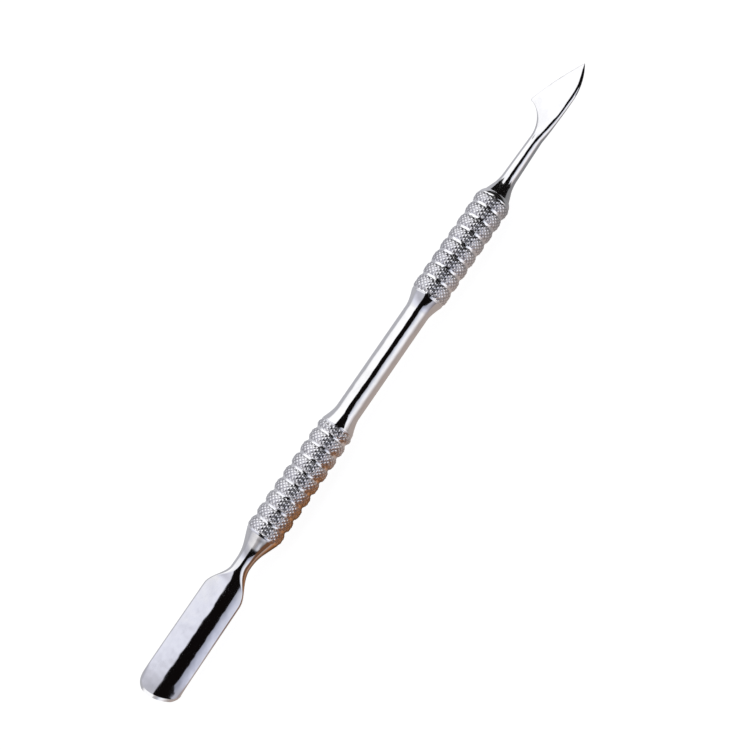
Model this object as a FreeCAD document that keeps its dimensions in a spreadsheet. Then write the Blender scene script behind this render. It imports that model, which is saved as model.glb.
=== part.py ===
"""Double-ended cuticle pusher in stainless steel: a turned bar between two ringed grips, a spoon and a blade.

Millimetres. +X runs along the tool from the spoon to the blade, +Y is the side that the blade's heel
points to, and +Z is up. The origin is on the surface that the tool lies on, under the middle of the bar.
"""
import FreeCAD, Part
import math
import os
import re

import Sketcher

SIZES = (
    # The two grips and the bar between them.
    ("grip_diameter", 7.0),  # over the crests of the rings
    ("rim_diameter", 6.5),  # the plain rim at each end of a grip
    ("rim_width", 0.3),
    ("bore_diameter", 3.7),  # right through each grip
    ("seat_gap", 0.05),  # solder gap all round what is seated in the bore
    ("ring_pitch", 2.72),
    ("ring_groove_depth", 0.42),
    ("ring_groove_floor", 0.3),
    ("ring_crest", 0.6),
    ("spoon_grip_length", 23.8),
    ("spoon_grip_grooves", 8),
    ("spoon_grip_first_groove", 1.94),  # from the bar to the middle of the first groove
    ("spoon_grip_nose_length", 0.3),  # the tapered nose at the grip's outer end
    ("spoon_grip_nose_diameter", 6.4),
    ("blade_grip_length", 22.8),
    ("blade_grip_grooves", 7),
    ("blade_grip_first_groove", 3.23),
    ("blade_grip_nose_length", 1.0),
    ("blade_grip_nose_diameter", 5.4),
    ("bar_length", 28.9),  # between the two grips
    ("bar_end_diameter", 6.4),
    ("bar_end_land", 0.25),
    ("bar_flare_length", 3.1),
    ("bar_waist_diameter", 4.75),
    ("spigot_length", 8),  # how far the bar reaches into each grip
    ("tang_length", 9),  # how far each working end reaches into its grip
    # The spoon end. Lengths run outwards from the grip's outer face.
    ("spoon_base_diameter", 6.3),
    ("spoon_cone_length", 2.0),
    ("spoon_cone_diameter", 4.76),
    ("spoon_blend_length", 3.6),
    ("spoon_neck_diameter", 3.2),
    ("spoon_neck_length", 7.6),
    ("spoon_shoulder_length", 4.6),
    ("spoon_shoulder_radius", 4.0),
    ("spoon_length", 22.25),  # from the shoulder to the tip
    ("spoon_width", 8.0),
    ("spoon_tip_width", 8.2),
    ("spoon_back_radius", 6.7),  # across the rounded upper face
    ("spoon_crown", 1.35),  # height of the upper face above the tool's axis
    ("spoon_thickness", 1.0),
    ("spoon_edge_thickness", 0.5),
    ("spoon_thinning", 0.35),  # how much thinner the tip is than the shoulder
    ("spoon_droop", 3.0),  # degrees
    ("spoon_tip_round", 2.7),
    ("spoon_tip_bow", 9.0),  # radius of the pushing edge
    ("spoon_tip_corner", 0.6),
    ("spoon_tip_lean", 1.2),
    ("spoon_root_length", 5.5),  # the neck's taper under the spoon
    ("spoon_root_diameter", 1.5),
    # The blade end.
    ("blade_base_diameter", 5.2),
    ("blade_cone_length", 2.2),
    ("blade_cone_diameter", 3.6),
    ("blade_blend_length", 2.6),
    ("blade_neck_diameter", 2.9),
    ("blade_neck_length", 13.2),
    ("blade_neck_tip_diameter", 2.45),
    ("blade_length", 16.9),  # from the neck to the point
    ("blade_heel_place", 5.9),  # from the neck to the heel
    ("blade_heel_reach", 5.3),  # from the tool's axis out to the heel
    ("blade_heel_round", 0.6),
    ("blade_edge_bow", 60.0),  # radius of the cutting edge
    ("blade_point_rise", 0.46),  # the point's place off the tool's axis
    ("blade_back_reach", 1.68),
    ("blade_back_bow", 89.0),
    ("blade_hook_length", 7.2),
    ("blade_face_radius", 13.0),  # across the rounded upper face
    ("blade_crown", 1.19),
    ("blade_crown_place", -2.2),  # the ridge lies near the back
    ("blade_thickness", 1.1),
    ("blade_edge_thickness", 0.15),
    ("blade_thinning", 0.6),
    ("blade_root_length", 5.0),
    ("blade_root_diameter", 1.2),
    # How far the cutting shapes run past what they cut.
    ("overrun", 10.0),
)
NAMES = re.compile(r"\b(" + "|".join(alias for alias, _ in SIZES) + r")\b")
AXIS_HEIGHT = "grip_diameter / 2"
X_AXIS = FreeCAD.Vector(1, 0, 0)
Y_AXIS = FreeCAD.Vector(0, 1, 0)
Z_AXIS = FreeCAD.Vector(0, 0, 1)

doc = FreeCAD.newDocument("cuticle_pusher")
sheet = doc.addObject("Spreadsheet::Sheet", "Sizes")
for row, (alias, value) in enumerate(SIZES, start=1):
    sheet.set(f"A{row}", alias)
    sheet.set(f"B{row}", str(value))
    sheet.setAlias(f"B{row}", alias)
doc.recompute()


def bound(text):
    """An expression in the sheet's words, with each word tied to its cell."""
    return NAMES.sub(r"Sizes.\1", text)


def size(text):
    """The number that an expression in the sheet's words stands for."""
    result = sheet.evalExpression(bound(text))
    return float(getattr(result, "Value", result))


def bind(thing, **expressions):
    """Ties properties to the sheet; a double underscore in a name stands for the dot of a nested property."""
    for name, text in expressions.items():
        thing.setExpression(name.replace("__", "."), bound(text))


def tangent_radius(run, rise):
    """Radius of the arc that leaves a line along it and is `rise` away from the line after `run`."""
    return f"((({run}) ^ 2 + ({rise}) ^ 2) / (2 * ({rise})))"


def arc_between(start, end, radius):
    """The arc from start to end, turning left for a positive radius and right for a negative one."""
    chord = end - start
    sideways = FreeCAD.Vector(-chord.y, chord.x, 0).normalize()
    offset = math.copysign(math.sqrt(radius**2 - (chord.Length / 2) ** 2), radius)
    centre = start + chord * 0.5 + sideways * offset
    first, last = (start, end) if radius > 0 else (end, start)
    angles = [math.atan2(point.y - centre.y, point.x - centre.x) for point in (first, last)]
    if angles[1] < angles[0]:
        angles[1] += 2 * math.pi
    return Part.ArcOfCircle(Part.Circle(centre, Z_AXIS, abs(radius)), *angles)


def draw(sketch, corners):
    """Draws a closed outline and ties it to the sheet.

    A corner is (across, up), or (across, up, radius) where an arc leads to the next corner: it turns
    left for a positive radius and right for one that starts with a minus sign.
    """
    points = [FreeCAD.Vector(size(corner[0]), size(corner[1]), 0) for corner in corners]
    ends = []
    for index, corner in enumerate(corners):
        start = points[index]
        end = points[(index + 1) % len(points)]
        if len(corner) == 2:
            side = sketch.addGeometry(Part.LineSegment(start, end), False)
            ends.append((side, 1, 2))
            continue
        radius = size(corner[2])
        side = sketch.addGeometry(arc_between(start, end, radius), False)
        ends.append((side, 1, 2) if radius > 0 else (side, 2, 1))
        rule = sketch.addConstraint(Sketcher.Constraint("Radius", side, abs(radius)))
        sketch.setExpression(f"Constraints[{rule}]", bound(corner[2].lstrip("-")))
    for index, corner in enumerate(corners):
        side, first, _ = ends[index]
        before, _, last = ends[index - 1]
        sketch.addConstraint(Sketcher.Constraint("Coincident", before, last, side, first))
        for kind, text, value, line in (
            ("DistanceX", corner[0], points[index].x, -2),
            ("DistanceY", corner[1], points[index].y, -1),
        ):
            if text == "0":
                sketch.addConstraint(Sketcher.Constraint("PointOnObject", side, first, line))
                continue
            rule = sketch.addConstraint(Sketcher.Constraint(kind, -1, 1, side, first, value))
            sketch.setExpression(f"Constraints[{rule}]", bound(text))


def body_sketch(body, name, corners):
    """A sketch on the upright plane through the body's long axis, which its turned shapes are drawn on."""
    plane = next(item for item in body.Origin.OriginFeatures if item.Role == "XZ_Plane")
    sketch = body.newObject("Sketcher::SketchObject", name)
    sketch.AttachmentSupport = (plane, [""])
    sketch.MapMode = "FlatFace"
    draw(sketch, corners)
    return sketch


def turned(body, name, corners, kind="PartDesign::Revolution"):
    """Turns an outline of (along, radius) corners about the body's long axis."""
    sketch = body_sketch(body, name + "_outline", corners)
    feature = body.newObject(kind, name)
    feature.Profile = sketch
    feature.ReferenceAxis = (sketch, ["H_Axis"])
    feature.Angle = 360
    doc.recompute()
    return feature


def extruded(name, corners):
    """An upright prism over a plan outline, deep enough to take a whole working end."""
    sketch = doc.addObject("Sketcher::SketchObject", name + "_outline")
    draw(sketch, corners)
    prism = doc.addObject("Part::Extrusion", name)
    prism.Base = sketch
    prism.DirMode = "Custom"
    prism.Dir = Z_AXIS
    prism.Solid = True
    bind(prism, LengthFwd="grip_diameter + overrun", LengthRev="grip_diameter + overrun")
    return prism


def log(name, radius, start, length, crown, across, slope):
    """A long cylinder lying along X, whose top line is at `crown` over `start` and falls outwards at `slope`."""
    piece = doc.addObject("Part::Cylinder", name)
    piece.Placement = FreeCAD.Placement(FreeCAD.Vector(), FreeCAD.Rotation(Y_AXIS, 90))
    bind(
        piece,
        Radius=radius,
        Height=f"({length}) + 2 * overrun",
        Placement__Base__x=f"({start}) - overrun * cos({slope}) - ({radius}) * sin({slope})",
        Placement__Base__y=across,
        Placement__Base__z=f"({crown}) + overrun * sin({slope}) - ({radius}) * cos({slope})",
        Placement__Rotation__Angle=f"90 + ({slope})",
    )
    return piece


def lower_radius(radius, half_width, thickness, edge):
    """Radius of a lower face that leaves `thickness` under the crown and `edge` at the sides."""
    upper_drop = f"(({radius}) - sqrt(({radius}) ^ 2 - ({half_width}) ^ 2))"
    lower_drop = f"({upper_drop} - ({thickness}) + ({edge}))"
    return tangent_radius(half_width, lower_drop)


def shell(name, plan, upper, lower):
    """The part of a curved plate, between an upper and a lower log, that lies inside a plan outline."""
    plate = doc.addObject("Part::Cut", name + "_plate")
    plate.Base = upper
    plate.Tool = lower
    trimmed = doc.addObject("Part::Common", name + "_shell")
    trimmed.Base = plate
    trimmed.Tool = plan
    doc.recompute()
    return trimmed


def working_end(label, shapes, grip_length, turn):
    """Joins a working end's turned root and its shell, and sets it against its grip's outer face."""
    piece = doc.addObject("Part::MultiFuse", label)
    piece.Label = label
    piece.Shapes = shapes
    piece.Refine = False
    piece.Placement = FreeCAD.Placement(FreeCAD.Vector(), FreeCAD.Rotation(Z_AXIS, turn))
    side = "-" if turn else ""
    bind(piece, Placement__Base__x=f"{side}(bar_length / 2 + {grip_length})", Placement__Base__z=AXIS_HEIGHT)
    return piece


def root(name, words, neck_corners):
    """Turned root of a working end: tang, cone, blend into the neck, then the corners given."""
    base, cone, cone_length, blend, neck = words
    corners = [
        ("-tang_length", "0"),
        ("-tang_length", "bore_diameter / 2 - seat_gap"),
        ("0", "bore_diameter / 2 - seat_gap"),
        ("0", f"{base} / 2"),
        (cone_length, f"{cone} / 2", tangent_radius(blend, f"({cone} - {neck}) / 2")),
        (f"{cone_length} + {blend}", f"{neck} / 2"),
    ]
    body = doc.addObject("PartDesign::Body", name)
    turned(body, name + "_turned", corners + neck_corners)
    return body


def make_centre_bar():
    """The waisted bar: one half is turned and mirrored, with a spigot at each end for the grips."""
    flare = tangent_radius("bar_flare_length", "(bar_end_diameter - bar_waist_diameter) / 2")
    flare_end = "bar_length / 2 - bar_end_land"
    body = doc.addObject("PartDesign::Body", "centre_bar")
    half = turned(
        body,
        "bar_half",
        [
            ("0", "0"),
            ("0", "bar_waist_diameter / 2"),
            (f"{flare_end} - bar_flare_length", "bar_waist_diameter / 2", flare),
            (flare_end, "bar_end_diameter / 2"),
            ("bar_length / 2", "bar_end_diameter / 2"),
            ("bar_length / 2", "bore_diameter / 2 - seat_gap"),
            ("bar_length / 2 + spigot_length", "bore_diameter / 2 - seat_gap"),
            ("bar_length / 2 + spigot_length", "0"),
        ],
    )
    middle = next(item for item in body.Origin.OriginFeatures if item.Role == "YZ_Plane")
    mirrored = body.newObject("PartDesign::Mirrored", "bar_whole")
    mirrored.Originals = [half]
    mirrored.MirrorPlane = (middle, [""])
    body.Tip = mirrored
    bind(body, Placement__Base__z=AXIS_HEIGHT)
    return body


def make_grip(side, turn):
    """A bored sleeve, drawn outwards from the bar: plain rims, a tapered nose and turned ring grooves."""
    length = f"{side}_grip_length"
    nose = f"{length} - {side}_grip_nose_length"
    shoulder = "((ring_pitch - ring_groove_floor - ring_crest) / 2)"
    crest = "grip_diameter / 2"
    rim = "rim_diameter / 2"
    rim_arc = tangent_radius(shoulder, f"{crest} - {rim}")
    body = doc.addObject("PartDesign::Body", f"{side}_side_grip")
    turned(
        body,
        f"{side}_sleeve",
        [
            ("0", "bore_diameter / 2"),
            ("0", rim),
            ("rim_width", rim, "-" + rim_arc),
            (f"rim_width + {shoulder}", crest),
            (f"{nose} - rim_width - {shoulder}", crest, "-" + rim_arc),
            (f"{nose} - rim_width", rim),
            (nose, rim),
            (length, f"{side}_grip_nose_diameter / 2"),
            (length, "bore_diameter / 2"),
        ],
    )
    # One ring groove: a narrow floor between two rounded flanks that leave the crests along them.
    first = f"{side}_grip_first_groove"
    floor = "grip_diameter / 2 - ring_groove_depth"
    flank = tangent_radius(shoulder, "ring_groove_depth")
    near_crest = f"{first} - ring_groove_floor / 2 - {shoulder}"
    far_crest = f"{first} + ring_groove_floor / 2 + {shoulder}"
    groove = turned(
        body,
        f"{side}_ring_groove",
        [
            (near_crest, crest, "-" + flank),
            (f"{first} - ring_groove_floor / 2", floor),
            (f"{first} + ring_groove_floor / 2", floor, "-" + flank),
            (far_crest, crest),
            (far_crest, f"{crest} + overrun"),
            (near_crest, f"{crest} + overrun"),
        ],
        kind="PartDesign::Groove",
    )
    rings = body.newObject("PartDesign::LinearPattern", f"{side}_ring_grooves")
    rings.Originals = [groove]
    rings.Direction = (groove.Profile[0], ["H_Axis"])
    bind(rings, Occurrences=f"{side}_grip_grooves", Length=f"ring_pitch * ({side}_grip_grooves - 1)")
    body.Tip = rings
    body.Placement = FreeCAD.Placement(FreeCAD.Vector(), FreeCAD.Rotation(Z_AXIS, turn))
    place = "-bar_length / 2" if turn else "bar_length / 2"
    bind(body, Placement__Base__x=place, Placement__Base__z=AXIS_HEIGHT)
    return body


def make_spoon_end():
    """The pusher: a curved plate, rounded side up, that the neck runs into with a tapered root."""
    neck_end = "spoon_neck_length"
    shoulder_end = f"({neck_end} + spoon_shoulder_length)"
    tip = f"({shoulder_end} + spoon_length)"
    neck_half = "spoon_neck_diameter / 2"
    half = "spoon_width / 2"
    tip_half = "spoon_tip_width / 2"
    turn_in = f"{neck_end} + spoon_shoulder_length / 2"
    turn_half = f"({neck_half} + {half}) / 2"
    corner_start = f"{tip} - spoon_tip_lean - spoon_tip_corner"
    outline = [
        (neck_end, neck_half, "spoon_shoulder_radius"),
        (turn_in, turn_half, "-spoon_shoulder_radius"),
        (shoulder_end, half),
        (corner_start, tip_half, "-spoon_tip_corner"),
        (f"{tip} - spoon_tip_lean", f"{tip_half} - spoon_tip_corner", "-spoon_tip_bow"),
        (tip, f"spoon_tip_round - {tip_half}", "-spoon_tip_round"),
        (f"{tip} - spoon_tip_round", f"-{tip_half}"),
        (shoulder_end, f"-{half}", "-spoon_shoulder_radius"),
        (turn_in, f"-{turn_half}", "spoon_shoulder_radius"),
        (neck_end, f"-{neck_half}"),
    ]
    plan = extruded("spoon_plan", outline)
    whole = "spoon_shoulder_length + spoon_length"
    under = lower_radius("spoon_back_radius", half, "spoon_thickness", "spoon_edge_thickness")
    upper = log("spoon_upper", "spoon_back_radius", neck_end, whole, "spoon_crown", "0", "spoon_droop")
    lower = log(
        "spoon_lower",
        under,
        neck_end,
        whole,
        "spoon_crown - spoon_thickness",
        "0",
        f"spoon_droop - atan(spoon_thinning / ({whole})) / 1 deg",
    )
    plate = shell("spoon", plan, upper, lower)
    neck = root(
        "spoon_root",
        ("spoon_base_diameter", "spoon_cone_diameter", "spoon_cone_length", "spoon_blend_length", "spoon_neck_diameter"),
        [
            (neck_end, neck_half),
            (f"{neck_end} + spoon_root_length", "spoon_root_diameter / 2", "-spoon_root_diameter / 2"),
            (f"{neck_end} + spoon_root_length + spoon_root_diameter / 2", "0"),
        ],
    )
    return working_end("spoon_end", [neck, plate], "spoon_grip_length", 180)


def make_blade_end():
    """The blade: an arc flares out to the heel, a long edge runs to the hooked point, and the back is full."""
    neck_end = "blade_neck_length"
    neck_half = "blade_neck_tip_diameter / 2"
    heel = f"({neck_end} + blade_heel_place)"
    tip = f"({neck_end} + blade_length)"
    flare = tangent_radius("blade_heel_place", f"blade_heel_reach - blade_heel_round - {neck_half}")
    hook = tangent_radius("blade_hook_length", "blade_point_rise + blade_back_reach")
    outline = [
        (neck_end, neck_half, flare),
        (heel, "blade_heel_reach - blade_heel_round", "-blade_heel_round"),
        (f"{heel} + blade_heel_round", "blade_heel_reach", "-blade_edge_bow"),
        (tip, "blade_point_rise", "-" + hook),
        (f"{tip} - blade_hook_length", "-blade_back_reach", "-blade_back_bow"),
        (neck_end, f"-{neck_half}"),
    ]
    plan = extruded("blade_plan", outline)
    half = "(blade_heel_reach - blade_crown_place)"
    under = lower_radius("blade_face_radius", half, "blade_thickness", "blade_edge_thickness")
    upper = log("blade_upper", "blade_face_radius", heel, "blade_length", "blade_crown", "blade_crown_place", "0")
    lower = log(
        "blade_lower",
        under,
        heel,
        "blade_length",
        "blade_crown - blade_thickness",
        "blade_crown_place",
        "-atan(blade_thinning / (blade_length - blade_heel_place)) / 1 deg",
    )
    plate = shell("blade", plan, upper, lower)
    neck = root(
        "blade_root",
        ("blade_base_diameter", "blade_cone_diameter", "blade_cone_length", "blade_blend_length", "blade_neck_diameter"),
        [
            (neck_end, neck_half),
            (f"{neck_end} + blade_root_length", "blade_root_diameter / 2", "-blade_root_diameter / 2"),
            (f"{neck_end} + blade_root_length + blade_root_diameter / 2", "0"),
        ],
    )
    return working_end("blade_end", [neck, plate], "blade_grip_length", 0)


pieces = [
    make_centre_bar(),
    make_grip("spoon", 180),
    make_grip("blade", 0),
    make_spoon_end(),
    make_blade_end(),
]
doc.recompute()

for thing in doc.Objects:
    if "Invalid" in thing.State or "Error" in thing.State:
        raise RuntimeError(f"{thing.Label} failed: {thing.State}")
for piece in pieces:
    shape = piece.Shape
    if shape.isNull() or not shape.isValid() or len(shape.Solids) != 1:
        raise RuntimeError(f"{piece.Label} isn't one valid solid")

os.makedirs("parts", exist_ok=True)
for piece in pieces:
    piece.Shape.exportStep(f"parts/{piece.Label}.step")
    box = piece.Shape.BoundBox
    low = (round(box.XMin, 2), round(box.YMin, 2), round(box.ZMin, 2))
    high = (round(box.XMax, 2), round(box.YMax, 2), round(box.ZMax, 2))
    print(piece.Label, low, high, "volume", round(piece.Shape.Volume, 1))
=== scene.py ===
import math

import bmesh
import bpy
import numpy as np
from mathutils import Matrix, Vector


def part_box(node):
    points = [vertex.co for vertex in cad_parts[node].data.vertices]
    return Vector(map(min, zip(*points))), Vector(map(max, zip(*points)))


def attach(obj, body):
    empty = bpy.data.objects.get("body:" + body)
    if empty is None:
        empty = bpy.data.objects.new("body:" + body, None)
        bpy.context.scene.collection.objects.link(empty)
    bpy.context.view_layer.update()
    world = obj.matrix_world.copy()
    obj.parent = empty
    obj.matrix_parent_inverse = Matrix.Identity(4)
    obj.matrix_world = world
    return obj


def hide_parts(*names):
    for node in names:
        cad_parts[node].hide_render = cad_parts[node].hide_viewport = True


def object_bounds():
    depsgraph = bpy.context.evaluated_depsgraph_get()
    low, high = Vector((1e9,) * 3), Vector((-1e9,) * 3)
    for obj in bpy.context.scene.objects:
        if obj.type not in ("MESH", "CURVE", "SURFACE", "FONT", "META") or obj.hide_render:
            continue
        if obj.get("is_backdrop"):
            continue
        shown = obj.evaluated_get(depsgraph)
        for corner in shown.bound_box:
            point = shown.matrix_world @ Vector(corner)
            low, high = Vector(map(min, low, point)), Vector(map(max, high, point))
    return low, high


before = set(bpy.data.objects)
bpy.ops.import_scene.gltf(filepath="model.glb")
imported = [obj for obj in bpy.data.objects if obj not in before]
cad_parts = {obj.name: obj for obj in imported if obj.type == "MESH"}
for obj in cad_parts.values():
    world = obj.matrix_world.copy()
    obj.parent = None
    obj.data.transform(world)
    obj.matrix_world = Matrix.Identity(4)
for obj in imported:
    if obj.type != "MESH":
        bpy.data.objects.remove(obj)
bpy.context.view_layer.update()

# ------------------------------------------------------------------------------------------------
# The camera. It hangs over the tool, leaning a little towards its near side and its spoon end, and
# is turned so that the tool lies across the view from lower left to upper right.
# ------------------------------------------------------------------------------------------------
MM = 0.001  # the shapes below are worked out in millimetres


def box_mm(node):
    """Lowest and highest corner of a CAD node, in millimetres."""
    low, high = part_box(node)
    return np.array(low) / MM, np.array(high) / MM


bar_low, bar_high = box_mm("centre_bar")
axis_y, axis_z = (bar_low + bar_high)[1:] / 2

CAMERA_DISTANCE = 260  # from the point that it aims at
CAMERA_LENS = 68.7
CAMERA_LEAN_ALONG = math.radians(5.4)
CAMERA_LEAN_ACROSS = math.radians(8.0)
CAMERA_TURN = math.radians(34.53)
AIM_ALONG = -2.7  # off the middle of the bar
AIM_ACROSS = -0.22
CAMERA_SEES_FROM = 0.01  # metres
CAMERA_SEES_TO = 10.0

aim = Vector((AIM_ALONG, AIM_ACROSS, axis_z))
towards_camera = Vector((-math.tan(CAMERA_LEAN_ALONG), -math.tan(CAMERA_LEAN_ACROSS), 1)).normalized()
picture_up = Vector((math.cos(CAMERA_TURN), math.sin(CAMERA_TURN), 0))
picture_up = (picture_up - towards_camera * picture_up.dot(towards_camera)).normalized()
picture_right = picture_up.cross(towards_camera)

camera = bpy.data.objects.new("camera", bpy.data.cameras.new("camera"))
bpy.context.scene.collection.objects.link(camera)
bpy.context.scene.camera = camera
camera.data.lens = CAMERA_LENS
camera.data.clip_start = CAMERA_SEES_FROM
camera.data.clip_end = CAMERA_SEES_TO
turn = Matrix((picture_right, picture_up, towards_camera)).transposed().to_4x4()
camera.matrix_world = Matrix.Translation((aim + towards_camera * CAMERA_DISTANCE) * MM) @ turn
bpy.context.scene.view_settings.view_transform = "Standard"

# ------------------------------------------------------------------------------------------------
# The studio, in metres: a pale floor between two long softboxes, one on each side of the tool. The
# dark gap between them, over the tool, is what gives polished steel its black line. The far side's
# box is brighter. The floor glows evenly pale to the camera but paints a reflection into the steel: grey
# on each side, a warm patch beside the spoon-side grip with painted contact shade close to the tool.
# Two cards seen only in the steel paint a warm reflection beside that grip and a dark one beyond the blade.
# ------------------------------------------------------------------------------------------------
GAP_LOW = (  # degrees along the tool towards +X, and how far from overhead the gap reaches there towards -Y
    (-90, 120),
    (-46, 100),
    (-31, 66),
    (-24, 34),
    (-19, 23),
    (5, 23),
    (14, 30),
    (20, 24),
    (32, 42),
    (44, 56),
    (56, 20),
    (90, 20),
)
GAP_HIGH = (  # and how far it reaches towards +Y
    (-90, 16),
    (14, 16),
    (22, 12),
    (42, 16),
    (90, 12),
)
HALF_TURN = 180.0
GAP_BLUR = 2.0  # half the width of the gap's soft edge
GAP_ENDS = (-46, -38)  # the gap fades in between these, along the tool
GAP_COLOUR = (0.004, 0.003, 0.003, 1)
ACROSS_LIGHT = (  # degrees across the tool from overhead towards +Y, and the light from there
    (-180, (0.28, 0.24, 0.23)),
    (-100, (0.44, 0.40, 0.38)),
    (-86, (0.50, 0.45, 0.44)),
    (-76, (0.74, 0.69, 0.69)),
    (-66, (1.02, 1.00, 1.02)),
    (-52, (1.02, 1.03, 1.08)),
    (-38, (0.80, 0.82, 0.90)),
    (-26, (0.49, 0.51, 0.57)),
    (-10, (0.44, 0.42, 0.43)),
    (6, (0.60, 0.59, 0.60)),
    (18, (1.14, 1.14, 1.15)),
    (76, (1.14, 1.14, 1.15)),
    (88, (0.88, 0.88, 0.90)),
    (104, (0.60, 0.60, 0.62)),
    (180, (0.50, 0.50, 0.52)),
)
ALONG_LIGHT = (  # degrees along the tool towards +X, and how much of that light is left there
    (-90, (1.00, 1.00, 1.00)),
    (-58, (1.00, 1.00, 1.00)),
    (-46, (0.86, 0.84, 0.84)),
    (-34, (0.52, 0.52, 0.56)),
    (-24, (0.46, 0.46, 0.51)),
    (-17, (0.62, 0.62, 0.69)),
    (-12, (0.76, 0.77, 0.86)),
    (-4, (0.86, 0.86, 0.88)),
    (4, (1.00, 1.00, 1.00)),
    (12, (1.06, 1.06, 1.07)),
    (90, (1.06, 1.06, 1.07)),
)
ROOM_COLOUR = (0.93, 0.93, 0.94, 1)
FLOOR_SIDE = 2.0
FLOOR_GLOW = (0.90, 0.90, 0.90, 1)
FLOOR_MATT = (0.30, 0.30, 0.30, 1)
FAR_FLOOR_REFLECTION = (0.50, 0.50, 0.53, 1)  # painted reflection: the grey that the steel sees of the floor, which the camera sees pale, on the +Y side
NEAR_FLOOR_REFLECTION = (0.44, 0.37, 0.34, 1)  # and on the -Y side
REFLECTION_SIDES = (-0.003, 0.003)  # one side fades into the other between these, along Y
# painted reflection: a darker grey that the steel sees of the floor by the blade
BLADE_FLOOR_REFLECTION = (0.25, 0.25, 0.26, 1)
BLADE_STRETCH = (0.015, 0.050)  # the near side takes its colour by the blade between these, along X
WARM_FLOOR_REFLECTION = (0.42, 0.18, 0.07, 1)  # a painted warm reflection, seen only in the steel, beside the spoon-side grip
CONTACT_SHADE_REFLECTION = (0.12, 0.055, 0.025, 1)  # painted contact shade: the warm reflection goes dark brown close to the tool
CONTACT_SHADE_STRETCH = (-0.004, -0.011)  # the painted contact shade fades into the warm reflection between these, along Y
WARM_REFLECTION_CENTRE = (-0.034, -0.008)
WARM_REFLECTION_REACH = (0.007, 0.020)  # the patch fades out between these, from its centre


def node(tree, kind, *values, **settings):
    """Adds a shader node and fills its inputs in order: a socket is linked, a number or colour is set."""
    made = tree.nodes.new(kind)
    for name, value in settings.items():
        setattr(made, name, value)
    for socket, value in zip(made.inputs, values):
        if isinstance(value, bpy.types.NodeSocket):
            tree.links.new(value, socket)
        elif value is not None:
            socket.default_value = value
    return made


def calc(tree, operation, *values):
    """The result of a Math node."""
    return node(tree, "ShaderNodeMath", *values, operation=operation).outputs[0]


def step(tree, value, start, end, low=0.0, high=1.0):
    """Runs smoothly from low, where value is start, to high, where it is end, and stays there."""
    made = node(tree, "ShaderNodeMapRange", value, start, end, low, high, interpolation_type="SMOOTHSTEP")
    return made.outputs[0]


def mix(tree, share, first, second, blend="MIX"):
    """The colour between first, at a share of 0, and second, at 1."""
    made = node(tree, "ShaderNodeMix", data_type="RGBA", blend_type=blend, clamp_factor=True)
    colours = [socket for socket in made.inputs if socket.type == "RGBA"]
    for socket, value in zip((made.inputs["Factor"], *colours), (share, first, second)):
        if isinstance(value, bpy.types.NodeSocket):
            tree.links.new(value, socket)
        else:
            socket.default_value = value
    return next(socket for socket in made.outputs if socket.type == "RGBA")


def ramp(tree, value, stops):
    """A ColorRamp over a value in degrees from -180 to 180. A stop holds its place and a colour or a grey."""
    made = node(tree, "ShaderNodeValToRGB", calc(tree, "MULTIPLY_ADD", value, 1 / (2 * HALF_TURN), 0.5))
    elements = made.color_ramp.elements
    while len(elements) < len(stops):
        elements.new(1.0)
    for element, (degrees, light) in zip(elements, stops):
        element.position = degrees / (2 * HALF_TURN) + 0.5
        element.color = (*light, 1) if isinstance(light, tuple) else (light, light, light, 1)
    return made.outputs[0]


world = bpy.data.worlds.new("studio")
bpy.context.scene.world = world
world.use_nodes = True
sky = world.node_tree
sky.nodes.clear()
direction = node(sky, "ShaderNodeTexCoord").outputs["Generated"]
parts = node(sky, "ShaderNodeSeparateXYZ", direction).outputs
across = calc(sky, "DEGREES", calc(sky, "ARCTAN2", parts["Y"], parts["Z"]))
along = calc(sky, "DEGREES", calc(sky, "ARCSINE", parts["X"]))
light = mix(sky, 1.0, ramp(sky, across, ACROSS_LIGHT), ramp(sky, along, ALONG_LIGHT), "MULTIPLY")
low_edge = ramp(sky, along, [(place, edge / HALF_TURN) for place, edge in GAP_LOW])
high_edge = ramp(sky, along, [(place, edge / HALF_TURN) for place, edge in GAP_HIGH])
past_low = calc(sky, "MULTIPLY_ADD", low_edge, HALF_TURN, across)
past_high = calc(sky, "MULTIPLY_ADD", high_edge, -HALF_TURN, across)
gap = calc(
    sky,
    "MULTIPLY",
    calc(sky, "MULTIPLY", step(sky, past_low, -GAP_BLUR, GAP_BLUR), step(sky, along, *GAP_ENDS)),
    step(sky, past_high, -GAP_BLUR, GAP_BLUR, 1.0, 0.0),
)
lit = mix(sky, gap, light, GAP_COLOUR)
seen = mix(sky, node(sky, "ShaderNodeLightPath").outputs["Is Camera Ray"], lit, ROOM_COLOUR)
background = node(sky, "ShaderNodeBackground", seen)
node(sky, "ShaderNodeOutputWorld", background.outputs[0])

floor_mesh = bpy.data.meshes.new("floor")
reach = FLOOR_SIDE / 2
corners = [(-reach, -reach, 0), (reach, -reach, 0), (reach, reach, 0), (-reach, reach, 0)]
floor_mesh.from_pydata(corners, [], [(0, 1, 2, 3)])
floor = bpy.data.objects.new("floor", floor_mesh)
bpy.context.scene.collection.objects.link(floor)
floor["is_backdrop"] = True

pale = bpy.data.materials.new("pale_floor")
pale.use_nodes = True
tree = pale.node_tree
tree.nodes.clear()
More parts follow.
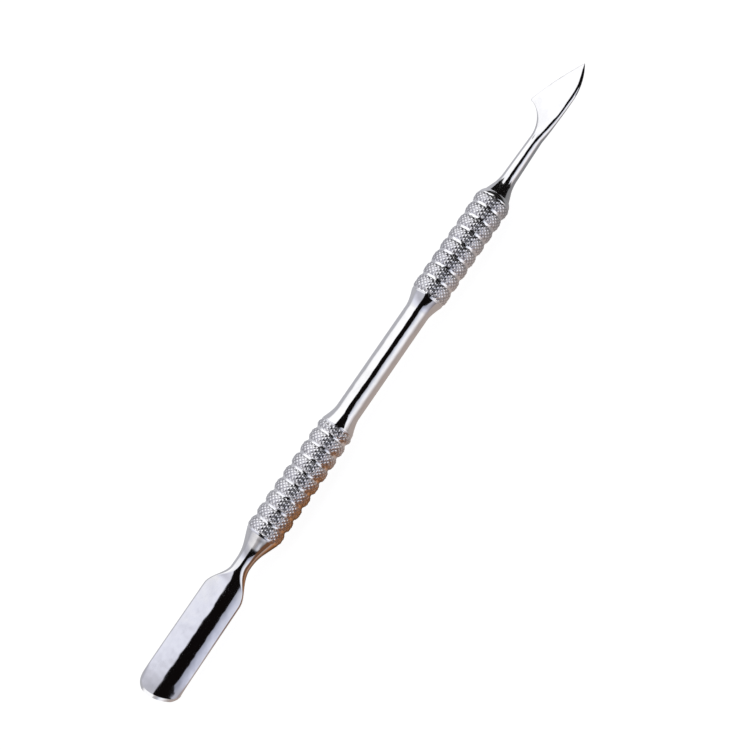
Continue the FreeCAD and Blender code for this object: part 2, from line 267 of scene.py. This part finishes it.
# What the steel sees of the floor is a painted reflection, an emitted colour that the camera never sees: grey
# on each side and darker by the blade, a warm patch beside the spoon-side grip, and painted contact shade in
# that patch close to the tool.
place = node(tree, "ShaderNodeSeparateXYZ", node(tree, "ShaderNodeTexCoord").outputs["Object"]).outputs
side = step(tree, place["Y"], *REFLECTION_SIDES)
from_centre = calc(
    tree,
    "SQRT",
    calc(
        tree,
        "ADD",
        calc(tree, "POWER", calc(tree, "SUBTRACT", place["X"], WARM_REFLECTION_CENTRE[0]), 2.0),
        calc(tree, "POWER", calc(tree, "SUBTRACT", place["Y"], WARM_REFLECTION_CENTRE[1]), 2.0),
    ),
)
in_patch = step(tree, from_centre, *WARM_REFLECTION_REACH, 1.0, 0.0)
warm = calc(tree, "MULTIPLY", in_patch, calc(tree, "SUBTRACT", 1.0, side))
near = mix(tree, step(tree, place["X"], *BLADE_STRETCH), NEAR_FLOOR_REFLECTION, BLADE_FLOOR_REFLECTION)
patch = mix(tree, step(tree, place["Y"], *CONTACT_SHADE_STRETCH), CONTACT_SHADE_REFLECTION, WARM_FLOOR_REFLECTION)
painted_reflection = mix(tree, warm, mix(tree, side, near, FAR_FLOOR_REFLECTION), patch)
matt = node(tree, "ShaderNodeBsdfDiffuse", FLOOR_MATT)
glow = node(tree, "ShaderNodeEmission", FLOOR_GLOW)
direct = node(tree, "ShaderNodeAddShader", matt.outputs[0], glow.outputs[0])
floor_reflection_glow = node(tree, "ShaderNodeEmission", painted_reflection)
# The camera sees the evenly pale floor with its real contact shadow; every other ray sees the painted
# reflection.
is_direct = node(tree, "ShaderNodeLightPath").outputs["Is Camera Ray"]
floor_finish = node(tree, "ShaderNodeMixShader", is_direct, floor_reflection_glow.outputs[0], direct.outputs[0])
node(tree, "ShaderNodeOutputMaterial", floor_finish.outputs[0])
floor_mesh.materials.append(pale)

# Two cards, out of the camera's sight but not out of the steel's, that paint reflections into it: a low
# warm glowing one beside the spoon-side grip, and a tall black one across the tool beyond the blade that
# paints a dark reflection there. Both fade out towards their rims.
REFLECTION_CARDS = {
    # name: (its two feet, height, colour, share of its length that fades at each end, share of its
    # height above which it fades)
    "warm_reflection_card": ((-0.068, -0.022), (-0.008, -0.022), 0.018, (0.16, 0.072, 0.036, 1), 0.2, 0.6),
    "dark_reflection_card": ((0.110, -0.125), (0.110, 0.125), 0.078, (0.005, 0.004, 0.004, 1), 0.08, 0.8),
}
for name, (foot, other_foot, height, colour, fade_ends, fade_top) in REFLECTION_CARDS.items():
    corners = [(*foot, 0), (*other_foot, 0), (*other_foot, height), (*foot, height)]
    mesh = bpy.data.meshes.new(name)
    mesh.from_pydata(corners, [], [(0, 1, 2, 3)])
    spread = mesh.uv_layers.new(name="spread")
    spread.uv.foreach_set("vector", [0, 0, 1, 0, 1, 1, 0, 1])
    made = bpy.data.objects.new(name, mesh)
    bpy.context.scene.collection.objects.link(made)
    made.visible_camera = False
    made.visible_diffuse = False
    made.visible_shadow = False
    made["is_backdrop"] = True
    finish = bpy.data.materials.new(name)
    finish.use_nodes = True
    tree = finish.node_tree
    tree.nodes.clear()
    spread_map = node(tree, "ShaderNodeUVMap", uv_map="spread")
    on_card = node(tree, "ShaderNodeSeparateXYZ", spread_map.outputs[0]).outputs
    off_middle = calc(tree, "ABSOLUTE", calc(tree, "SUBTRACT", on_card["X"], 0.5))
    inside = calc(
        tree,
        "MULTIPLY",
        step(tree, off_middle, 0.5 - fade_ends, 0.5, 1.0, 0.0),
        step(tree, on_card["Y"], fade_top, 1.0, 1.0, 0.0),
    )
    clear = node(tree, "ShaderNodeBsdfTransparent")
    card_glow = node(tree, "ShaderNodeEmission", colour)
    shown = node(tree, "ShaderNodeMixShader", inside, clear.outputs[0], card_glow.outputs[0])
    node(tree, "ShaderNodeOutputMaterial", shown.outputs[0])
    mesh.materials.append(finish)

# ------------------------------------------------------------------------------------------------
# centre_bar: the middle of the handle, a steel rod turned down to a plain waist between two flared
# ends and mopped to a mirror along its length. A spigot at each end is seated in a grip's bore.
# ------------------------------------------------------------------------------------------------
SPIGOT_LENGTH = 8.0
SPIGOT_RADIUS = 1.8
SPIGOT_CHAMFER = 0.2
BAR_LAND = 0.25
BAR_FLARE = 3.1
BAR_FLARE_POWER = 1.5
BAR_FLARE_ROWS = 32
BAR_WAIST_RADIUS = 2.375
BAR_MIDDLE = 6  # half the length of the middle stretch, which has no rows in it
BAR_CORNER = 0.12
BAR_COLUMNS = 128
MERGE_WITHIN = 1e-4  # points that are nearer to each other than this become one
SHARP_FROM = math.radians(35)
STEEL_LIGHT = (0.86, 0.86, 0.87, 1)
STEEL_DULL = (0.79, 0.79, 0.80, 1)  # where it is smudged
POLISH_WAVINESS = 0.06
POLISH_SCRATCH_DEPTH = 0.0006
POLISH_ROUGHNESS = 0.06
SMUDGE_ROUGHNESS = 0.05  # what smudges and scratches add
SCRATCH_ROUGHNESS = 0.05
SMUDGE_GRAIN = (210, 320, 320)  # cells to the metre, along X, Y and Z
SCRATCH_GRAIN = (90, 5200, 5200)
WAVE_GRAIN = (420, 520, 520)
SMUDGED_FROM = (0.40, 0.68)  # of the noise, where smudges start and where they are full
SCRATCHED_FROM = (0.5, 0.75)


def ease(value, start, end):
    """Runs from 0, where value is start, to 1, where it is end, as 3u^2 - 2u^3."""
    share = np.clip((value - start) / (end - start), 0, 1)
    return share * share * (3 - 2 * share)


def all_round(columns):
    """Evenly spaced angles, once round."""
    return np.linspace(0, 2 * np.pi, columns, endpoint=False)


def turned(place, radius, angle):
    """Carries rows of radii, one row for each place along X, round the tool: y = r sin a and z = r cos a."""
    place, radius, angle = np.broadcast_arrays(place[:, None], radius, angle)
    return np.stack([place, axis_y + radius * np.sin(angle), axis_z + radius * np.cos(angle)], axis=-1)


def surface(name, points, ring=False, **attributes):
    """Makes an object of a grid of points in millimetres. Each row is a closed loop joined to the next one,
    and ring joins the last row to the first. Points that lie on each other are merged, and close the ends."""
    rows, columns = points.shape[:2]
    index = np.arange(rows * columns).reshape(rows, columns)
    if ring:
        index = np.vstack([index, index[:1]])
    beside = np.roll(index, -1, axis=1)
    faces = np.stack([index[:-1], beside[:-1], beside[1:], index[1:]], axis=-1).reshape(-1, 4)
    mesh = bpy.data.meshes.new(name)
    mesh.from_pydata((points.reshape(-1, 3) * MM).tolist(), [], faces.tolist())
    for attribute, values in attributes.items():
        mesh.attributes.new(attribute, "FLOAT", "POINT").data.foreach_set("value", values.ravel())
    work = bmesh.new()
    work.from_mesh(mesh)
    bmesh.ops.remove_doubles(work, verts=work.verts, dist=MERGE_WITHIN * MM)
    bmesh.ops.recalc_face_normals(work, faces=work.faces)
    work.to_mesh(mesh)
    work.free()
    mesh.polygons.foreach_set("use_smooth", np.ones(len(mesh.polygons), bool))
    mesh.set_sharp_from_angle(angle=SHARP_FROM)
    made = bpy.data.objects.new(name, mesh)
    bpy.context.scene.collection.objects.link(made)
    return made


def group_socket(group, name, way, kind="NodeSocketFloat"):
    """Adds a named socket to a shader node group."""
    return group.interface.new_socket(name=name, in_out=way, socket_type=kind)


# polish_marks: what mopping and handling leave on steel. Its height is in millimetres: a slow waviness
# from the mop, and fine scratches along the tool. Smudges and scratches are masks from 0 to 1.
marks = bpy.data.node_groups.new("polish_marks", "ShaderNodeTree")
group_socket(marks, "Waviness", "INPUT")
group_socket(marks, "Scratch depth", "INPUT")
group_socket(marks, "Smudges", "OUTPUT")
group_socket(marks, "Scratches", "OUTPUT")
group_socket(marks, "Height", "OUTPUT")
asked = node(marks, "NodeGroupInput").outputs
object_place = node(marks, "ShaderNodeTexCoord").outputs["Object"]


def noise(tree, scale, detail, roughness=0.5):
    """A noise whose grain has the given number of cells to the metre along X, Y and Z."""
    stretched = node(tree, "ShaderNodeMapping", object_place)
    stretched.inputs["Scale"].default_value = scale
    made = node(tree, "ShaderNodeTexNoise", stretched.outputs[0])
    made.inputs["Scale"].default_value = 1.0
    made.inputs["Detail"].default_value = detail
    made.inputs["Roughness"].default_value = roughness
    return made.outputs[0]


smudges = step(marks, noise(marks, SMUDGE_GRAIN, 4, 0.6), *SMUDGED_FROM)
scratches = noise(marks, SCRATCH_GRAIN, 3, 0.7)
waves = noise(marks, WAVE_GRAIN, 1)
relief = calc(
    marks,
    "ADD",
    calc(marks, "MULTIPLY", waves, asked["Waviness"]),
    calc(marks, "MULTIPLY", scratches, asked["Scratch depth"]),
)
node(marks, "NodeGroupOutput", smudges, step(marks, scratches, *SCRATCHED_FROM), relief)


def steel(name, waviness, scratch_depth):
    """A metal with the polish marks on it: the material, its tree, its shader and the marks' outputs."""
    made = bpy.data.materials.new(name)
    made.use_nodes = True
    tree = made.node_tree
    shader = tree.nodes["Principled BSDF"]
    shader.inputs["Metallic"].default_value = 1.0
    placed = node(tree, "ShaderNodeGroup")
    placed.node_tree = marks
    placed.inputs["Waviness"].default_value = waviness
    placed.inputs["Scratch depth"].default_value = scratch_depth
    bump = node(tree, "ShaderNodeBump")
    bump.inputs["Distance"].default_value = MM
    tree.links.new(placed.outputs["Height"], bump.inputs["Height"])
    tree.links.new(bump.outputs[0], shader.inputs["Normal"])
    return made, tree, shader, placed.outputs


polished, tree, shader, worn = steel("polished_steel", POLISH_WAVINESS, POLISH_SCRATCH_DEPTH)
tree.links.new(mix(tree, worn["Smudges"], STEEL_LIGHT, STEEL_DULL), shader.inputs["Base Color"])
roughness = calc(
    tree,
    "MULTIPLY_ADD",
    worn["Scratches"],
    SCRATCH_ROUGHNESS,
    calc(tree, "MULTIPLY_ADD", worn["Smudges"], SMUDGE_ROUGHNESS, POLISH_ROUGHNESS),
)
tree.links.new(roughness, shader.inputs["Roughness"])

bar_end = bar_high[0] - SPIGOT_LENGTH
bar_end_radius = (bar_high[1] - bar_low[1]) / 2
flare = np.linspace(0, 1, BAR_FLARE_ROWS)
flare_along = bar_end - BAR_LAND - BAR_FLARE * flare
flare_radius = BAR_WAIST_RADIUS + (bar_end_radius - BAR_WAIST_RADIUS) * (1 - flare) ** BAR_FLARE_POWER
half_profile = [
    (bar_high[0], 0),
    (bar_high[0], SPIGOT_RADIUS - SPIGOT_CHAMFER),
    (bar_high[0] - SPIGOT_CHAMFER, SPIGOT_RADIUS),
    (bar_end, SPIGOT_RADIUS),
    (bar_end, bar_end_radius - BAR_CORNER),
    (bar_end - BAR_CORNER, bar_end_radius),
    *zip(flare_along, flare_radius),
    (BAR_MIDDLE, BAR_WAIST_RADIUS),
]
half_place, half_radius = np.array(half_profile).T
bar_place = np.concatenate([half_place, -half_place[::-1]])
bar_radius = np.concatenate([half_radius, half_radius[::-1]])
centre_bar = surface("centre_bar_polished", turned(bar_place, bar_radius[:, None], all_round(BAR_COLUMNS)))
centre_bar.data.materials.append(polished)
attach(centre_bar, "root")
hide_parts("centre_bar")

# ------------------------------------------------------------------------------------------------
# spoon_side_grip and blade_side_grip: steel sleeves with round rings turned on them. Two crossing
# sets of slanting grooves are rolled into the rings' crests, and leave rows of small pointed
# diamonds; the floors of the ring grooves and the tapered noses stay plain.
# ------------------------------------------------------------------------------------------------
BORE_RADIUS = 1.85
BORE_CHAMFER = 0.1
RIM_RADIUS = 3.25
RIM_WIDTH = 0.3
RIM_SHOULDER = 0.5
NOSE_POWER = 1.6
RING_PITCH = 2.72
RING_FLOOR = 0.3
RING_CREST = 0.6
KNURL_ROUND = 22  # diamonds round the grip
KNURL_PITCH = 0.83  # from diamond to diamond along the grip
KNURL_DEPTH = 0.11
KNURL_LEAN = 0.45  # the most that a diamond leans
KNURL_SEED = 7
KNURL_CELLS = 10  # grid steps to a diamond, both ways
KNURL_PLAIN = (0.12, 0.28)  # off a groove's middle, it deepens between these
KNURL_START = (0.1, 0.3)  # and out from the bar
KNURL_END = 0.25  # and over this length before the nose
GRIPS = {
    # node: (first groove from the bar, number of grooves, their depth, nose length, nose radius)
    "spoon_side_grip": (1.94, 8, 0.42, 0.3, 3.2),
    "blade_side_grip": (3.23, 7, 0.32, 1.0, 2.7),
}
TIP_COLOUR = (0.96, 0.96, 0.97, 1)
VALLEY_GRIME_AND_SHADE = (0.42, 0.41, 0.43, 1)
VALLEY_ENDS = 0.55  # the height, as a share of a diamond's, from which the colour is the tip's
KNURL_SMUDGE = (0.88, 0.88, 0.90, 1)
KNURL_WAVINESS = 0.02
KNURL_SCRATCH_DEPTH = 0.0010
VALLEY_ROUGHNESS = 0.36
TIP_ROUGHNESS = 0.16
ROUGH_ENDS = 0.7  # the height from which the roughness is the tip's
KNURL_SCRATCH_ROUGHNESS = 0.06

knurled, tree, shader, worn = steel("knurled_steel", KNURL_WAVINESS, KNURL_SCRATCH_DEPTH)
rolled = node(tree, "ShaderNodeAttribute", attribute_name="knurl_height").outputs["Fac"]
# Grime and painted shade: the knurl's colour darkens from the diamonds' points down into their valleys,
# partly grime held there and partly shade painted where the valleys lie in shadow.
knurl_grime_and_shade = mix(tree, step(tree, rolled, 0.0, VALLEY_ENDS), VALLEY_GRIME_AND_SHADE, TIP_COLOUR)
tree.links.new(mix(tree, worn["Smudges"], knurl_grime_and_shade, KNURL_SMUDGE, "MULTIPLY"), shader.inputs["Base Color"])
roughness = calc(
    tree,
    "MULTIPLY_ADD",
    worn["Scratches"],
    KNURL_SCRATCH_ROUGHNESS,
    step(tree, rolled, 0.0, ROUGH_ENDS, VALLEY_ROUGHNESS, TIP_ROUGHNESS),
)
tree.links.new(roughness, shader.inputs["Roughness"])


def ring_radius(off_groove, crest, depth):
    """The plain sleeve's radius at a distance off a groove's middle: flat at the groove's floor, then an arc
    up to the crest, r = crest - R + sqrt(R^2 - g^2), where g is how far it is short of the crest's flat."""
    run = (RING_PITCH - RING_CREST - RING_FLOOR) / 2
    arc = (run**2 + depth**2) / (2 * depth)
    short = np.clip(RING_FLOOR / 2 + run - off_groove, 0, run)
    return crest - arc + np.sqrt(arc**2 - short**2)


def knurl(out, angle):
    """The rolled diamonds, from 0 in the bottom of a groove to 1 at a diamond's point: the smaller of two
    triangle waves that climb to the left and to the right round the grip, m. Each diamond also leans its own
    way, by m (a u + b v), where u and v run from -1 to 1 across it and a and b are its own random numbers."""
    round_grip = KNURL_ROUND * angle / (2 * np.pi)
    left = round_grip + out / KNURL_PITCH
    right = round_grip - out / KNURL_PITCH
    turn = np.floor(left).astype(int) % KNURL_ROUND
    row = (np.floor(left) - np.floor(right)).astype(int)
    row -= row.min()
    drawn = np.random.default_rng(KNURL_SEED)
    leans = drawn.uniform(-KNURL_LEAN, KNURL_LEAN, (2, KNURL_ROUND, row.max() + 1))
    lean_left, lean_right = leans[:, turn, row]
    across_left = 2 * (left % 1) - 1
    across_right = 2 * (right % 1) - 1
    height = 1 - np.maximum(np.abs(across_left), np.abs(across_right))
    return np.clip(height * (1 + lean_left * across_left + lean_right * across_right), 0, 1)


for name, (first_groove, groove_count, groove_depth, nose_length, nose_radius) in GRIPS.items():
    low, high = box_mm(name)
    outwards = 1 if low[0] > 0 else -1
    inner_face = low[0] if outwards > 0 else high[0]
    length = high[0] - low[0]
    crest = (high[1] - low[1]) / 2
    grooves = first_groove + RING_PITCH * np.arange(groove_count)
    out = np.linspace(0, length, round(length / KNURL_PITCH * KNURL_CELLS) + 1)
    off_groove = np.abs(out[:, None] - grooves).min(axis=1)
    angle = all_round(KNURL_ROUND * KNURL_CELLS)
    radius = ring_radius(off_groove, crest, groove_depth)
    nose = length - nose_length
    radius -= (crest - RIM_RADIUS) * (1 - ease(out, RIM_WIDTH, RIM_WIDTH + RIM_SHOULDER))
    radius -= (crest - RIM_RADIUS) * ease(out, nose - RIM_SHOULDER, nose)
    radius -= (RIM_RADIUS - nose_radius) * np.clip((out - nose) / nose_length, 0, 1) ** NOSE_POWER
    rolled_here = ease(off_groove, *KNURL_PLAIN)
    rolled_here *= ease(out, *KNURL_START) * (1 - ease(out, nose - KNURL_END, nose))
    points_high = knurl(out[:, None], angle[None, :])
    height = 1 - rolled_here[:, None] * (1 - points_high)
    outer = radius[:, None] - KNURL_DEPTH * (1 - height)
    bore_out = np.array([length, length - BORE_CHAMFER, length / 2, BORE_CHAMFER, 0.0])
    bore_radius = np.array([BORE_CHAMFER, 0.0, 0.0, 0.0, BORE_CHAMFER])[:, None] + BORE_RADIUS
    bore = np.repeat(bore_radius, angle.size, axis=1)
    place = inner_face + outwards * np.concatenate([out, bore_out])
    sleeve = turned(place, np.concatenate([outer, bore]), angle)
    knurl_height = np.concatenate([height, np.ones_like(bore)])
    grip = surface(name + "_knurled", sleeve, ring=True, knurl_height=knurl_height)
    grip.data.materials.append(knurled)
    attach(grip, "root")
    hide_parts(name)

# ------------------------------------------------------------------------------------------------
# spoon_end: the pusher, forged from one rod with its neck and tang, and mirror-polished. A cone
# fills the grip's mouth, a short neck follows, and the plate is rounded across its upper face, hollow
# underneath, droops a little and is ground on a slant at the tip.
# ------------------------------------------------------------------------------------------------
TANG_RADIUS = 1.8
TANG_CHAMFER = 0.2
BASE_CORNER = 0.06
SPOON_BASE_RADIUS = 3.15
SPOON_CONE = (2.0, 2.38)  # length, and radius where the cone ends
SPOON_BLEND = 3.6
SPOON_NECK_RADIUS = 1.6
SPOON_NECK_LENGTH = 7.2
SPOON_SHOULDER = 5.4
SPOON_FLATTENS = (-1.0, 3.2)  # out from the neck's end, it goes from round to flat between these
SPOON_HIP = 1.2  # how much sooner the plate starts to widen on the -Y side
SPOON_WIDTH = 8.0
SPOON_TIP_WIDTH = 8.2
SPOON_MID_RADIUS = 8.1  # across the plate, half-way through it
SPOON_CROWN = 1.5
SPOON_DROOP = math.tan(math.radians(3.0))
SPOON_ROLL = math.tan(math.radians(4.2))  # the -Y edge rides a little higher
SPOON_NOSE = (4.2, 28)  # the length of the last stretch, and the radius that it bends down on
SPOON_THICKNESS = 1.0
SPOON_TIP_THICKNESS = 0.65
SPOON_EDGE = 0.5
SPOON_SPINE = (1.0, 6.5, 1.1)  # the neck's root under the plate: depth, length and half-width
TIP_ROUND = 2.7  # radius of the tip's corner on the +Y side
TIP_CORNER = 1.1  # and on the -Y side
TIP_BOW = 9.0  # radius of the pushing edge between them
TIP_RUN = 7.0  # the slant grows over this length
TIP_BEVEL = (0.65, 0.28)  # its width and its drop
TIP_BEVEL_ROWS = (1, 0.95, 0.66, 0.33, 0.05, 0)  # shares of the bevel's width in from the tip
TIP_BEVEL_LEAD = 0.03  # the last row before the bevel
SHOULDER_ROWS_PAST = 1.0  # the shoulder's close rows run on for this length
SPOON_ROWS = (8, 60, 30, 40)  # on the neck, the shoulder, the plate and the tip
CONE_ROWS = 10
BLEND_ROWS = 14
END_COLUMNS = 144


def root_profile(tang_length, base_radius, cone, blend, neck_radius):
    """Distance out from the grip's face, and radius: the tang, the face, a straight cone, then a parabola
    that runs the cone into the neck."""
    cone_length, cone_radius = cone
    on_cone = np.linspace(0, 1, CONE_ROWS)
    on_blend = np.linspace(0, 1, BLEND_ROWS)[1:]
    out = [-tang_length, -tang_length, -tang_length + TANG_CHAMFER, 0, 0]
    out.extend(BASE_CORNER + (cone_length - BASE_CORNER) * on_cone)
    radius = [0, TANG_RADIUS - TANG_CHAMFER, TANG_RADIUS, TANG_RADIUS, base_radius - BASE_CORNER]
    radius.extend(base_radius + (cone_radius - base_radius) * on_cone)
    out.extend(cone_length + blend * on_blend)
    radius.extend(neck_radius + (cone_radius - neck_radius) * (1 - on_blend) ** 2)
    return np.array(out), np.array(radius)


def sagitta(offset, curvature):
    """How far an arc has fallen at an offset from its top; a curvature of 0 is a straight line."""
    return offset**2 * curvature / (1 + np.sqrt(1 - (offset * curvature) ** 2))


def rounding(past, size):
    """The share of its thickness that a plate keeps in a rounded edge: 1 up to the edge's rounding, then a
    quarter circle down to 0."""
    return np.sqrt(1 - np.clip(past / size, 0, 1) ** 2)


def closing_row(row):
    """The row that shuts a flattened end: each point goes half-way to the one across the plate from it."""
    return (row + np.roll(row[::-1], 1, axis=0)) / 2


spoon_low, spoon_high = box_mm("spoon_end")
spoon_face = box_mm("spoon_side_grip")[0][0]
tip_out = spoon_face - spoon_low[0]
root_out, root_radius = root_profile(
    spoon_high[0] - spoon_face, SPOON_BASE_RADIUS, SPOON_CONE, SPOON_BLEND, SPOON_NECK_RADIUS
)
shoulder_from = SPOON_NECK_LENGTH
shoulder_to = shoulder_from + SPOON_SHOULDER
bevel_width, bevel_drop = TIP_BEVEL
bevel_from = tip_out - bevel_width
places = [
    root_out[-1],
    shoulder_from,
    shoulder_to + SHOULDER_ROWS_PAST,
    tip_out - TIP_RUN,
    bevel_from - TIP_BEVEL_LEAD,
]
plate_out = [np.linspace(*stretch)[1:] for stretch in zip(places, places[1:], SPOON_ROWS)]
plate_out = np.concatenate([*plate_out, tip_out - bevel_width * np.array(TIP_BEVEL_ROWS)])
out = np.concatenate([root_out, plate_out])[:, None]
radius = np.concatenate([root_radius, np.full(plate_out.size, SPOON_NECK_RADIUS)])[:, None]
loop = all_round(END_COLUMNS)
upper = np.sin(loop) >= 0
flattens_from, flattens_to = SPOON_FLATTENS
flat = ease(out, shoulder_from + flattens_from, shoulder_from + flattens_to)  # 0 round, 1 flat
full_width = np.interp(out, [shoulder_to, tip_out], [SPOON_WIDTH / 2, SPOON_TIP_WIDTH / 2])
widen_from = np.where(np.cos(loop) < 0, shoulder_from - SPOON_HIP, shoulder_from)
half_width = radius + (full_width - radius) * ease(out, widen_from, shoulder_to)
side = half_width * np.cos(loop)
thickness = np.interp(out, [shoulder_from, tip_out], [SPOON_THICKNESS, SPOON_TIP_THICKNESS])
edge_size = half_width + (SPOON_EDGE / 2 - half_width) * flat
share = rounding(np.abs(side) - (half_width - edge_size), edge_size)
plate_half = thickness / 2 - (thickness - SPOON_EDGE) / 2 * (side / half_width) ** 2
half_thick = radius + (plate_half - radius) * flat
spine_depth, spine_length, spine_width = SPOON_SPINE
spine = spine_depth * flat * (1 - ease(out, shoulder_to, shoulder_to + spine_length))
half_thick_below = half_thick + spine * np.exp(-((side / spine_width) ** 2))
crown_line = SPOON_CROWN - SPOON_DROOP * (out - shoulder_from) - thickness / 2
nose_run, nose_radius = SPOON_NOSE
crown_line = crown_line - sagitta(np.clip(out - tip_out + nose_run, 0, nose_run), 1 / nose_radius)
middle = flat * (crown_line - SPOON_ROLL * side) - sagitta(side, flat / SPOON_MID_RADIUS)
drop = bevel_drop * np.clip((out - tip_out + bevel_width) / bevel_width, 0, 1)
rise = np.where(upper, share * half_thick - drop, -share * half_thick_below)
tip_side = SPOON_TIP_WIDTH / 2 * np.cos(loop)
on_round = np.clip(tip_side - (SPOON_TIP_WIDTH / 2 - TIP_ROUND), 0, TIP_ROUND)
on_bow = np.clip(SPOON_TIP_WIDTH / 2 - TIP_ROUND - tip_side, 0, TIP_BOW)
on_corner = np.clip(-tip_side - (SPOON_TIP_WIDTH / 2 - TIP_CORNER), 0, TIP_CORNER)
set_back = sagitta(on_round, 1 / TIP_ROUND) + sagitta(on_bow, 1 / TIP_BOW)
set_back += sagitta(on_corner, 1 / TIP_CORNER)
place_out = out - set_back * ease(out, tip_out - TIP_RUN, tip_out)
plate = np.stack([spoon_face - place_out, axis_y + side, axis_z + middle + rise], axis=-1)
plate = np.concatenate([plate, closing_row(plate[-1])[None]])

spoon_end = surface("spoon_end_polished", plate)
spoon_end.data.materials.append(polished)
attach(spoon_end, "root")
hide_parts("spoon_end")

# ------------------------------------------------------------------------------------------------
# blade_end: the scraper at the other end, forged and polished in the same way. Its slender neck
# flares out to a heel, a long thin edge runs from the heel to a hooked point, and the back is full
# and rounded.
# ------------------------------------------------------------------------------------------------
BLADE_BASE_RADIUS = 2.6
BLADE_CONE = (2.2, 1.8)  # length, and radius where the cone ends
BLADE_BLEND = 2.6
BLADE_NECK_RADIUS = 1.45
BLADE_NECK_LENGTH = 13.2
BLADE_NECK_TIP_RADIUS = 1.225
HEEL_PLACE = 5.9  # out from the neck's end
HEEL_ROUND = 0.6
HEEL_ROWS_FROM = 1.2  # the rows are closer over this length before the heel
POINT_ROWS_FROM = 1.5  # and before the point
BLADE_ROWS_TO_HEEL = (16, 36, 20)  # on the neck, the flare and the last of it before the heel
HEEL_ROWS = 12
BLADE_ROWS_TO_POINT = (60, 24)  # on the edge and the last of it before the point
EDGE_BOW = 60.0  # radius of the cutting edge
POINT_RISE = 0.46  # the point's place off the tool's axis
BACK_REACH = 1.68
HOOK_LENGTH = 7.2
BLADE_FACE_RADIUS = 13.0
BLADE_RIDGE = -2.2  # the ridge of the face lies off the tool's axis, on the back's side
BLADE_CROWN = 1.19
BLADE_THICKNESS = 1.1
BLADE_TIP_THICKNESS = 0.5
BLADE_EDGE = 0.15
BLADE_BACK_ROUND = 0.78
BLADE_FLATTENS_FROM = 1.5  # before the neck's end
BLADE_HOLLOW_POWER = 0.7  # below 1, the blade stays thick for longer on the way to its edge
LEAST_ROUND = 1e-3  # keeps the edge's rounding above 0 at the point


def arc_through(run, rise):
    """Radius of the arc that leaves a line along it and has moved off it by rise after the run."""
    return (run**2 + rise**2) / (2 * rise)


def climb(run, radius):
    """How far an arc that leaves a line along it has moved off it after each run."""
    return radius - np.sqrt(radius**2 - run**2)


blade_low, blade_high = box_mm("blade_end")
blade_face = box_mm("blade_side_grip")[1][0]
point_out = blade_high[0] - blade_face
heel_reach = blade_high[1] - axis_y
root_out, root_radius = root_profile(
    blade_face - blade_low[0], BLADE_BASE_RADIUS, BLADE_CONE, BLADE_BLEND, BLADE_NECK_RADIUS
)
neck_end = BLADE_NECK_LENGTH
heel = neck_end + HEEL_PLACE
places = [root_out[-1], neck_end, heel - HEEL_ROWS_FROM, heel]
to_heel = [np.linspace(*stretch)[1:] for stretch in zip(places, places[1:], BLADE_ROWS_TO_HEEL)]
round_heel = heel + HEEL_ROUND * (1 - np.cos(np.linspace(0, np.pi / 2, HEEL_ROWS)))[1:]
places = [heel + HEEL_ROUND, point_out - POINT_ROWS_FROM, point_out]
to_point = [np.linspace(*stretch)[1:] for stretch in zip(places, places[1:], BLADE_ROWS_TO_POINT)]
blade_out = np.concatenate([*to_heel, round_heel, *to_point])
out = np.concatenate([root_out, blade_out])[:, None]
neck = np.interp(blade_out, [root_out[-1], neck_end], [BLADE_NECK_RADIUS, BLADE_NECK_TIP_RADIUS])
radius = np.concatenate([root_radius, neck])[:, None]

flare_radius = arc_through(HEEL_PLACE, heel_reach - HEEL_ROUND - BLADE_NECK_TIP_RADIUS)
flare_line = radius + climb(np.clip(out - neck_end, 0, HEEL_PLACE), flare_radius)
heel_line = heel_reach - climb(np.clip(heel + HEEL_ROUND - out, 0, HEEL_ROUND), HEEL_ROUND)
# The cutting edge: a straight line from heel to point, plus a swell of s = 4 S u (1 - u), u from 0 to 1.
edge_run = np.clip((out - heel - HEEL_ROUND) / (point_out - heel - HEEL_ROUND), 0, 1)
edge_fall = heel_reach - POINT_RISE
edge_swell = ((point_out - heel - HEEL_ROUND) ** 2 + edge_fall**2) / (8 * EDGE_BOW)
edge_line = heel_reach - edge_fall * edge_run + 4 * edge_swell * edge_run * (1 - edge_run)
front = np.where(out < heel, flare_line, np.where(out < heel + HEEL_ROUND, heel_line, edge_line))
hook_from = point_out - HOOK_LENGTH
hook = climb(np.clip(out - hook_from, 0, HOOK_LENGTH), arc_through(HOOK_LENGTH, POINT_RISE + BACK_REACH))
back_run = np.clip((out - neck_end) / (hook_from - neck_end), 0, 1)
back = hook - radius - (BACK_REACH - radius) * (1 - (1 - back_run) ** 2)

flat = ease(out, neck_end - BLADE_FLATTENS_FROM, heel)  # 0 on the round neck, 1 on the blade
half_width = (front - back) / 2
side = (front + back) / 2 + half_width * np.cos(loop)
across_blade = (1 - np.cos(loop)) / 2
thickness = np.interp(out, [heel, point_out], [BLADE_THICKNESS, BLADE_TIP_THICKNESS])
thick_here = BLADE_EDGE / 2 + (thickness - BLADE_EDGE) / 2 * across_blade**BLADE_HOLLOW_POWER
half_thick = radius + (thick_here - radius) * flat
edge_size = np.maximum(half_width + (BLADE_EDGE / 2 - half_width) * flat, LEAST_ROUND)
back_round = np.minimum(BLADE_BACK_ROUND, half_width)
back_size = np.maximum(half_width + (back_round - half_width) * flat, LEAST_ROUND)
share = rounding(side - front + edge_size, edge_size) * rounding(back + back_size - side, back_size)
middle = flat * (BLADE_CROWN - sagitta(side - BLADE_RIDGE, 1 / BLADE_FACE_RADIUS) - half_thick)
rise = np.where(upper, share * half_thick, -share * half_thick)
blade = np.stack([blade_face + out + 0 * side, axis_y + side, axis_z + middle + rise], axis=-1)
blade = np.concatenate([blade, closing_row(blade[-1])[None]])

blade_end = surface("blade_end_polished", blade)
blade_end.data.materials.append(polished)
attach(blade_end, "root")
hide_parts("blade_end")

low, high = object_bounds()
